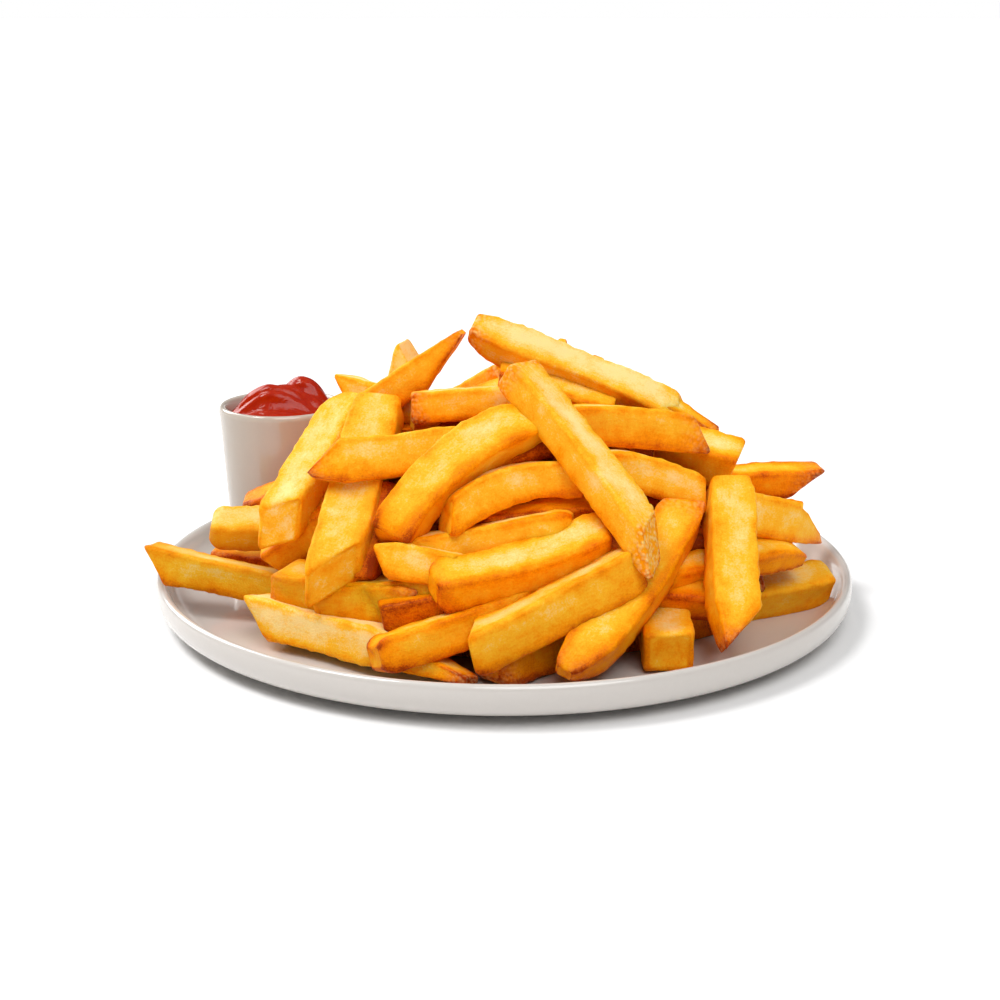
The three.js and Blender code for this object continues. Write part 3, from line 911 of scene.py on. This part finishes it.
class FryMesh:
    """Gathers all the fries into one mesh, with how each point was fried.

    crust is how far it browned, with painted shade on the sides and in the gaps, blister how bubbly it
    is, soaked how far it takes a duller mustard tone, line how near it is to a knife-cut edge, and
    grain its place along and across the streaks.
    """

    def __init__(self):
        self.vertices = []
        self.faces = []
        self.crust_and_shade = []
        self.blister = []
        self.grain = []
        self.dulled = []
        self.line = []
        self.dulled_now = 0.0

    def add(self, place, crust_and_shade, blister, grain, line=0.0):
        self.vertices.append(place * MM)
        self.crust_and_shade.append(max(0.0, min(1.0, crust_and_shade)))
        self.line.append(line)
        self.blister.append(blister)
        self.grain.append(grain)
        self.dulled.append(self.dulled_now)
        return len(self.vertices) - 1

    def give_attributes(self, data):
        """Writes what each point says to the mesh, for the material to read."""
        for name, kind, key, values in (
            ("crust_and_shade", "FLOAT", "value", self.crust_and_shade),
            ("blister", "FLOAT", "value", self.blister),
            ("dulled", "FLOAT", "value", self.dulled),
            ("line", "FLOAT", "value", self.line),
            ("grain", "FLOAT_VECTOR", "vector", [c for g in self.grain for c in g]),
        ):
            data.attributes.new(name, kind, "POINT").data.foreach_set(key, values)


def section_points(width, thickness, radius, per_corner, per_face):
    """A rounded rectangle: side and up, and how near each point is to a corner, 0 to 1."""
    points = []
    half = (width / 2 - radius, thickness / 2 - radius)
    corners = ((1, 1, 0), (-1, 1, 90), (-1, -1, 180), (1, -1, 270))
    for index, (side, up, start) in enumerate(corners):
        for i in range(per_corner):
            angle = math.radians(start + 90 * i / (per_corner - 1))
            x = side * half[0] + radius * math.cos(angle)
            y = up * half[1] + radius * math.sin(angle)
            points.append((x, y, 1.0))
        following = corners[(index + 1) % 4]
        first = points[-1]
        angle = math.radians(following[2])
        second = (following[0] * half[0] + radius * math.cos(angle),
                  following[1] * half[1] + radius * math.sin(angle))
        for i in range(1, per_face + 1):
            share = i / (per_face + 1)
            nearness = abs(2 * share - 1)
            points.append((first[0] + (second[0] - first[0]) * share,
                           first[1] + (second[1] - first[1]) * share, nearness))
    return points


def end_share(kind, distance):
    """The share of the full section that is left at a share of the length from an end."""
    least, reach, _ = END_KINDS[kind]
    grown = min(1.0, distance / reach)
    if kind not in POINTED_ENDS:
        grown = math.sin(math.pi / 2 * grown) ** END_ROUNDNESS
    return least + (1 - least) * grown


def axes_of(start, end, roll, rolls_towards):
    """The directions along a piece, out of its upper face and out of its front face."""
    along = (end - start).normalized()
    up = (Vector((0, 0, 1)) - along * along.z).normalized()
    front = along.cross(up)
    if front.y * rolls_towards < 0:
        front.negate()
    angle = math.radians(roll)
    top = up * math.cos(angle) + front * math.sin(angle)
    side = front * math.cos(angle) - up * math.sin(angle)
    return along, top, side


def ring_distances(length, step, roundings):
    """Distances from the first end at which a piece has a ring of points."""
    first, last = ([0, 0.12 * r, 0.45 * r, r] for r in roundings)
    between = length - sum(roundings)
    count = max(2, round(between / step))
    middle = [roundings[0] + between * i / count for i in range(1, count)]
    return first + middle + [length - d for d in reversed(last)]


def chance(seed, cell, turn):
    """A number from -1 to 1 that the piece's own number settles, the same each run."""
    return noise.cell(Vector((seed, cell + 0.5, turn + 0.5)))


class Fry:
    """One piece: faces a little hollow, edges crisp, ends rounded and rough."""

    def __init__(self, row, seed, fried, rolls_towards=-1):
        name, start, end, self.width, roll, self.ends = row
        self.start, self.end = Vector(start), Vector(end)
        self.length = (self.end - self.start).length
        self.thickness = self.width * THICKNESS_SHARE
        self.along, self.top, self.side = axes_of(self.start, self.end, roll, rolls_towards)
        self.handed = self.side.cross(self.top).dot(self.along) > 0
        self.seed = seed
        self.salt = Vector((seed * 7.31, seed * 3.77, seed * 5.13))
        self.roundings = [self.width * END_KINDS[kind][2] for kind in self.ends]
        bend = [USUAL_BEND * chance(seed, BEND_CELL, turn) for turn in (1, 2)]
        self.bend_top, self.bend_side = BENDS.get(name, bend)
        loose = [USUAL_CUT_SLOPE * chance(seed, SLOPE_CELL, turn) for turn in (1, 2, 3, 4)]
        self.slopes = CUT_SLOPES.get(name, (loose[:2], loose[2:]))
        self.skew = USUAL_SKEW * chance(seed, SKEW_CELL, 1)
        self.tip_top, self.tip_side = TIP_TOWARDS.get(name, USUAL_TIP)
        self.fried = fried
        self.bubbled = BUBBLED.get(name, (0.0, 0.0))
        self.end_browned = BROWNED_ENDS.get(name, (0.0, 0.0))
        self.dulled = DULLED.get(name, 0.0)
        pale_edged = name in PALE_EDGED
        self.edge_browning = PALE_EDGE_BROWNING if pale_edged else EDGE_BROWNING
        self.edge_line = PALE_EDGE_LINE if pale_edged else 1

    def uneven(self, x, y, z):
        """Smooth noise about zero, another for each piece."""
        return noise.noise(self.salt + Vector((x, y, z)))

    def taper_at(self, distance):
        """The share of the full section that the two ends leave at a distance from the first."""
        share = distance / self.length
        return min(end_share(self.ends[0], share), end_share(self.ends[1], 1 - share))

    def size_at(self, from_end):
        """How large the section is: it swells a little, and is rounded off at the ends."""
        inset = 0.0
        for nearest, rounding in zip(from_end, self.roundings):
            if nearest < rounding:
                inset = rounding - math.sqrt(rounding ** 2 - (rounding - nearest) ** 2)
        swell = 1 + SWELL * self.uneven(from_end[0] / SWELL_LENGTH, 0, 0)
        return max(LEAST_SECTION, swell - ROUNDING_DEPTH * inset / self.width)

    def growth(self, taper):
        """The taper over the height and over the front face, less where the tip keeps to them."""
        if abs(self.tip_top) > abs(self.tip_side):
            return taper, (1 + taper) / 2
        if abs(self.tip_side) > abs(self.tip_top):
            return (1 + taper) / 2, taper
        return taper, taper

    def middle_at(self, distance, taper):
        """The middle of the section, off the straight line by the bend, a wander and the tip."""
        share = distance / self.length
        bulge = 4 * share * (1 - share)
        wander_top = WANDER * self.uneven(0, distance / WANDER_LENGTH, 0)
        wander_side = WANDER * self.uneven(0, 0, distance / WANDER_LENGTH)
        tip_top = self.tip_top * (1 - taper) * self.thickness / 2
        tip_side = self.tip_side * (1 - taper) * self.width / 2
        middle = self.start + (self.end - self.start) * share
        middle += self.top * (self.bend_top * bulge + wander_top + tip_top)
        middle += self.side * (self.bend_side * bulge + wander_side + tip_side)
        return middle

    def directions_at(self, distance):
        """The directions out of the upper and the front face, which twist along the piece."""
        twist = TWIST * self.uneven(distance / TWIST_LENGTH, 9, 0)
        top = self.top * math.cos(twist) + self.side * math.sin(twist)
        side = self.side * math.cos(twist) - self.top * math.sin(twist)
        return top, side

    def dent_at(self, spot, nearness):
        """How far a point is off the flat face, in millimetres."""
        rough = sum(depth * noise.noise(spot * fineness) for depth, fineness in DENTS)
        crumbled = noise.noise(spot * EDGE_DENT_FINENESS + Vector((4, 0, 0)))
        crisp = EDGE_DENT * nearness ** 3 * crumbled
        hollow = -HOLLOW * (1 - nearness ** 2) * (self.width / HOLLOW_WIDTH)
        return rough + crisp + hollow

    def browned_and_shaded_at(self, from_end, x, y, nearness, spot, facing_up):
        """How far a point is browned, more along the edges and at the ends, with painted shade that
        makes the faces that don't look up darker than the top.
        """
        # The sides get painted shade, darker than the top that faces the light.
        browned = LEAST_BROWNED + self.fried + SIDE_PAINTED_SHADE * (1 - max(0.0, facing_up))
        broken = EDGE_EVENNESS + EDGE_BREAKS * noise.noise(spot * EDGE_BREAK_FINENESS)
        browned += self.edge_browning * nearness ** EDGE_NARROWNESS * broken
        patch = self.uneven(from_end[0] / PATCH_LENGTH, x / PATCH_WIDTH, y / PATCH_WIDTH)
        browned += PATCH_BROWNING * patch
        for kind, away, extra in zip(self.ends, from_end, self.end_browned):
            reach = CUT_REACH if kind in CUT_ENDS else TIP_REACH
            browned += END_BROWNING * math.exp(-away / reach)
            browned += extra * math.exp(-away / TIP_REACH)
        return browned

    def add_ring(self, mesh, distance, section):
        """Adds the points of the section at a distance from the first end."""
        from_end = (distance, self.length - distance)
        taper = self.taper_at(distance)
        size = self.size_at(from_end)
        grown_top, grown_side = self.growth(taper)
        middle = self.middle_at(distance, taper)
        top, side = self.directions_at(distance)
        fades = [max(0.0, 1 - away / CUT_FADE) for away in from_end]
        lean_top = self.slopes[0][0] * fades[0] + self.slopes[1][0] * fades[1]
        lean_side = self.slopes[0][1] * fades[0] + self.slopes[1][1] * fades[1]
        foam = sum(b * max(0.0, 1 - away / FOAM_REACH) for b, away in zip(self.bubbled, from_end))
        for x, y, nearness in section:
            spot = self.salt + Vector((distance / DENT_LENGTH, x / DENT_LENGTH, y / DENT_LENGTH))
            scale = size * (1 + self.dent_at(spot, nearness) / (self.width / 2))
            upward = y * scale * grown_top
            across = x * scale * grown_side + self.skew * upward
            point = middle + side * across + top * upward
            point += self.along * (y * lean_top + x * lean_side)
            outward = side * (x / self.width) + top * (y / self.thickness)
            facing_up = outward.normalized().z
            browned = self.browned_and_shaded_at(from_end, x, y, nearness, spot, facing_up)
            shift = self.seed * STREAK_SHIFT
            grain = (distance / STREAK_LENGTH, x / STREAK_WIDTH, y / STREAK_WIDTH + shift)
            mesh.add(point, browned, foam, grain, nearness * self.edge_line)

    def add_to(self, mesh, detail, edge_radius):
        """Adds the piece to the mesh: its rings, the faces between them and its two ends."""
        step, per_corner, per_face = detail
        section = section_points(self.width, self.thickness, edge_radius, per_corner, per_face)
        distances = ring_distances(self.length, step, self.roundings)
        around = len(section)
        first = len(mesh.vertices)
        mesh.dulled_now = self.dulled
        for distance in distances:
            self.add_ring(mesh, distance, section)
        turn = 1 if self.handed else -1
        mesh.faces.extend(face[::turn] for face in ring_bands(first, around, len(distances)))
        last = first + (len(distances) - 1) * around
        self.close_end(mesh, 0, first, around, -self.along, self.handed)
        self.close_end(mesh, 1, last, around, self.along, not self.handed)

    def close_end(self, mesh, index, base, around, out, turned):
        """Closes an end with rings that shrink to its middle, rough where it bubbled."""
        browned = CLOSED_END_BROWNED + self.fried + self.end_browned[index]
        bubbled = self.bubbled[index]
        outer = [mesh.vertices[base + i] / MM for i in range(around)]
        middle = sum(outer, Vector()) / around
        previous = base
        for share in END_RINGS:
            start = len(mesh.vertices)
            for point in outer:
                spot = middle + (point - middle) * share
                dent = noise.noise(self.salt + spot / END_DENT_LENGTH)
                lift = (END_DENT + BUBBLE_DENT * bubbled) * dent - END_HOLLOW * (1 - share)
                patch = END_PATCH * noise.noise(spot / END_PATCH_LENGTH)
                mesh.add(spot + out * lift, browned + patch, bubbled, tuple(spot / END_GRAIN))
            for i in range(around):
                j = (i + 1) % around
                quad = (previous + i, previous + j, start + j, start + i)
                mesh.faces.append(quad[::-1] if turned else quad)
            previous = start
        tip = mesh.add(middle - out * END_HOLLOW, browned, bubbled, tuple(middle / END_GRAIN))
        for i in range(around):
            corner = (previous + i, previous + (i + 1) % around, tip)
            mesh.faces.append(corner[::-1] if turned else corner)


def core_height(x, y):
    """How high the inside of the heap reaches at a place, a little under the pieces that show."""
    across = (abs(x - MOUND_MIDDLE) / MOUND_HALF_WIDTH) ** MOUND_ROUNDNESS
    deep = (abs(y) / MOUND_HALF_DEPTH) ** MOUND_STEEPNESS
    mound = MOUND_HEIGHT * (1 - across - deep)
    if y > 0:
        mound *= BEHIND_HEIGHT_SHARE
    crown = CORE_TOP * (1 - (abs(x - CORE_CROWN) / CORE_REACH) ** 3)
    return max(CORE_BASE + 1, min(crown, RESTING_HEIGHT + mound - CORE_DEPTH))


def add_core(mesh):
    """Adds a mound under the pieces, so that no gap between them shows daylight, browned nearly to the
    darkest as painted shade for the deep gaps.
    """
    first = len(mesh.vertices)
    for ring, share in enumerate(CORE_RINGS):
        for angle in ring_angles(CORE_AROUND):
            x = MOUND_MIDDLE + CORE_HALF_WIDTH * share * math.cos(angle)
            y = CORE_HALF_DEPTH * share * math.sin(angle)
            spot = Vector((x, y, core_height(x, y) if ring else CORE_BASE))
            patch = CORE_PATCH * noise.noise(spot / CORE_PATCH_LENGTH)
            mesh.add(spot, CORE_PAINTED_SHADE + patch, 0.0, tuple(spot))
    mesh.faces.extend(ring_bands(first, CORE_AROUND, len(CORE_RINGS)))
    last = first + (len(CORE_RINGS) - 1) * CORE_AROUND
    mesh.faces.append(tuple(range(last, last + CORE_AROUND)))
    mesh.faces.append(tuple(reversed(range(first, first + CORE_AROUND))))


def turned_behind(row):
    """A piece of the front turned half way round, for the far side of the heap."""
    name, start, end, width, roll, ends = row

    def move(place):
        x, y, z = place
        return (2 * TURN_ABOUT[0] - x, 2 * TURN_ABOUT[1] - y,
                RESTING_HEIGHT + (z - RESTING_HEIGHT) * BEHIND_HEIGHT_SHARE)

    return name, move(start), move(end), width, roll, ends


def moved_inside(row):
    """A piece of the front moved in towards the heap's middle, to fill what the gaps show."""
    name, start, end, width, roll, _ = row
    middle = Vector((MOUND_MIDDLE, 0, RESTING_HEIGHT))
    turn = Matrix.Rotation(math.radians(FILL_TURN), 3, "Z")

    def move(place):
        away = turn @ (Vector(place) - middle)
        return [m + FILL_SHARE * a for m, a in zip(middle, away)]

    return name, move(start), move(end), width, roll, "cc"


def fries_of_the_heap():
    """Every piece with how finely it is drawn, each numbered in turn for its own unevenness."""
    listed = [(row, FINE) for row in FRONT_FRIES]
    listed += [(row, COARSE) for row in (*DEEP_FRIES, *HIDDEN_FRIES)]
    fries = []
    for row, detail in listed:
        fries.append((Fry(row, len(fries) + 1, FRIED_AND_DEEP_SHADE.get(row[0], USUAL_FRIED)), detail))
    for row in FRONT_FRIES:
        if row[0] in REPEATED_BEHIND:
            fried = FRIED_AND_DEEP_SHADE.get(row[0], USUAL_FRIED)
            fries.append((Fry(turned_behind(row), len(fries) + 1, fried, 1), COARSE))
    # The topmost piece isn't repeated inside, because its copy would show in front.
    # The inner copies are browned dark as painted shade for the gaps.
    for row in FRONT_FRIES[1:]:
        fries.append((Fry(moved_inside(row), len(fries) + 1, FILL_PAINTED_SHADE), COARSEST))
    return fries


class DISH_OT_fries(bpy.types.Operator):
    """Heap the fries on the plate"""

    bl_idname = "dish.fries"
    bl_label = "Fries"

    def execute(self, context):
        settings = context.scene.fries_settings
        mesh = FryMesh()
        add_core(mesh)
        for fry, detail in fries_of_the_heap():
            fry.add_to(mesh, detail, settings.edge_radius / MM)
        fries = add_object("fries_heaped", mesh.vertices, mesh.faces, fried_potato(settings))
        mesh.give_attributes(fries.data)
        stand_for(fries, "fries")
        return {"FINISHED"}


# Stage and panel

def add_light(name, place, strength, angle):
    """A wide far light that looks at the middle of the plate from a place."""
    data = bpy.data.lights.new(name, "SUN")
    data.energy = strength
    data.angle = math.radians(angle)
    light = bpy.data.objects.new(name, data)
    light.location = place
    light.rotation_euler = (-Vector(place)).to_track_quat("-Z", "Y").to_euler()
    bpy.context.scene.collection.objects.link(light)


def add_floor(settings):
    """A floor that reaches past what the camera sees."""
    half = FLOOR_HALF
    corners = [(-half, -half, 0), (half, -half, 0), (half, half, 0), (-half, half, 0)]
    floor = add_object("floor", corners, [(0, 1, 2, 3)], studio_floor(settings))


def add_room(settings):
    """White at the horizon, which the camera sees, and grey above it, so that faces keep form."""
    world = bpy.data.worlds.new("white_room")
    bpy.context.scene.world = world
    world.use_nodes = True
    tree = world.node_tree
    direction = add_node(tree, "ShaderNodeTexCoord").outputs["Generated"]
    height = add_node(tree, "ShaderNodeSeparateXYZ", {"Vector": direction}).outputs["Z"]
    ramp = add_node(tree, "ShaderNodeValToRGB", {"Fac": height})
    greys = ((0.0, 1), (0.06, 1), (0.18, 0.1), (0.6, 0.1), (0.85, 0.5))
    set_stops(ramp.color_ramp, [(place, (grey, grey, grey)) for place, grey in greys])
    background = tree.nodes["Background"]
    tree.links.new(ramp.outputs["Color"], background.inputs["Color"])
    background.inputs["Strength"].default_value = settings.room


def add_camera():
    """The camera, at the angle from which the plate was photographed."""
    data = bpy.data.cameras.new("camera")
    data.lens = CAMERA_LENS
    data.sensor_width = CAMERA_SENSOR
    camera = bpy.data.objects.new("camera", data)
    camera.location = CAMERA_PLACE
    camera.rotation_euler = (math.radians(90 - CAMERA_DOWN), 0, math.radians(CAMERA_TURN))
    bpy.context.scene.collection.objects.link(camera)
    bpy.context.scene.camera = camera


class DISH_OT_stage(bpy.types.Operator):
    """Make the floor, the light and the camera"""

    bl_idname = "dish.stage"
    bl_label = "Floor, light and camera"

    def execute(self, context):
        settings = context.scene.stage_settings
        add_floor(settings)
        add_light("overhead", (0.3, -0.75, 1.2), settings.overhead, 40)
        add_light("softbox", (-0.7, -0.1, 1.3), settings.softbox, 20)
        add_light("backlight", (-0.9, 0.9, 0.8), settings.backlight, 35)
        add_room(settings)
        add_camera()
        context.scene.view_settings.view_transform = "Standard"
        return {"FINISHED"}


class DISH_PT_panel(bpy.types.Panel):
    """Lists the pieces in the sidebar"""

    bl_idname = "DISH_PT_panel"
    bl_label = "Plate of french fries"
    bl_space_type = "VIEW_3D"
    bl_region_type = "UI"
    bl_category = "Fries"

    def draw(self, context):
        groups = (
            (DISH_OT_plate, context.scene.plate_settings),
            (DISH_OT_pot, context.scene.pot_settings),
            (DISH_OT_ketchup, context.scene.ketchup_settings),
            (DISH_OT_fries, context.scene.fries_settings),
            (DISH_OT_stage, context.scene.stage_settings),
        )
        for operator, settings in groups:
            box = self.layout.box()
            for name in settings.__annotations__:
                box.prop(settings, name)
            box.operator(operator.bl_idname)


SETTINGS = {
    "fries_settings": FriesSettings,
    "plate_settings": PlateSettings,
    "pot_settings": PotSettings,
    "ketchup_settings": KetchupSettings,
    "stage_settings": StageSettings,
}
OPERATORS = (DISH_OT_plate, DISH_OT_pot, DISH_OT_ketchup, DISH_OT_fries, DISH_OT_stage)


def register():
    """Makes Blender know the settings, the operators and the panel."""
    for kind in (*SETTINGS.values(), *OPERATORS, DISH_PT_panel):
        bpy.utils.register_class(kind)
    for name, kind in SETTINGS.items():
        setattr(bpy.types.Scene, name, PointerProperty(type=kind))


def unregister():
    """Takes them out again."""
    for name in SETTINGS:
        delattr(bpy.types.Scene, name)
    for kind in reversed((*SETTINGS.values(), *OPERATORS, DISH_PT_panel)):
        bpy.utils.unregister_class(kind)


def main():
    """Makes the whole scene."""
    register()
    bpy.ops.dish.plate()
    bpy.ops.dish.pot()
    bpy.ops.dish.ketchup()
    bpy.ops.dish.fries()
    bpy.ops.dish.stage()


if __name__ == "__main__":
    main()
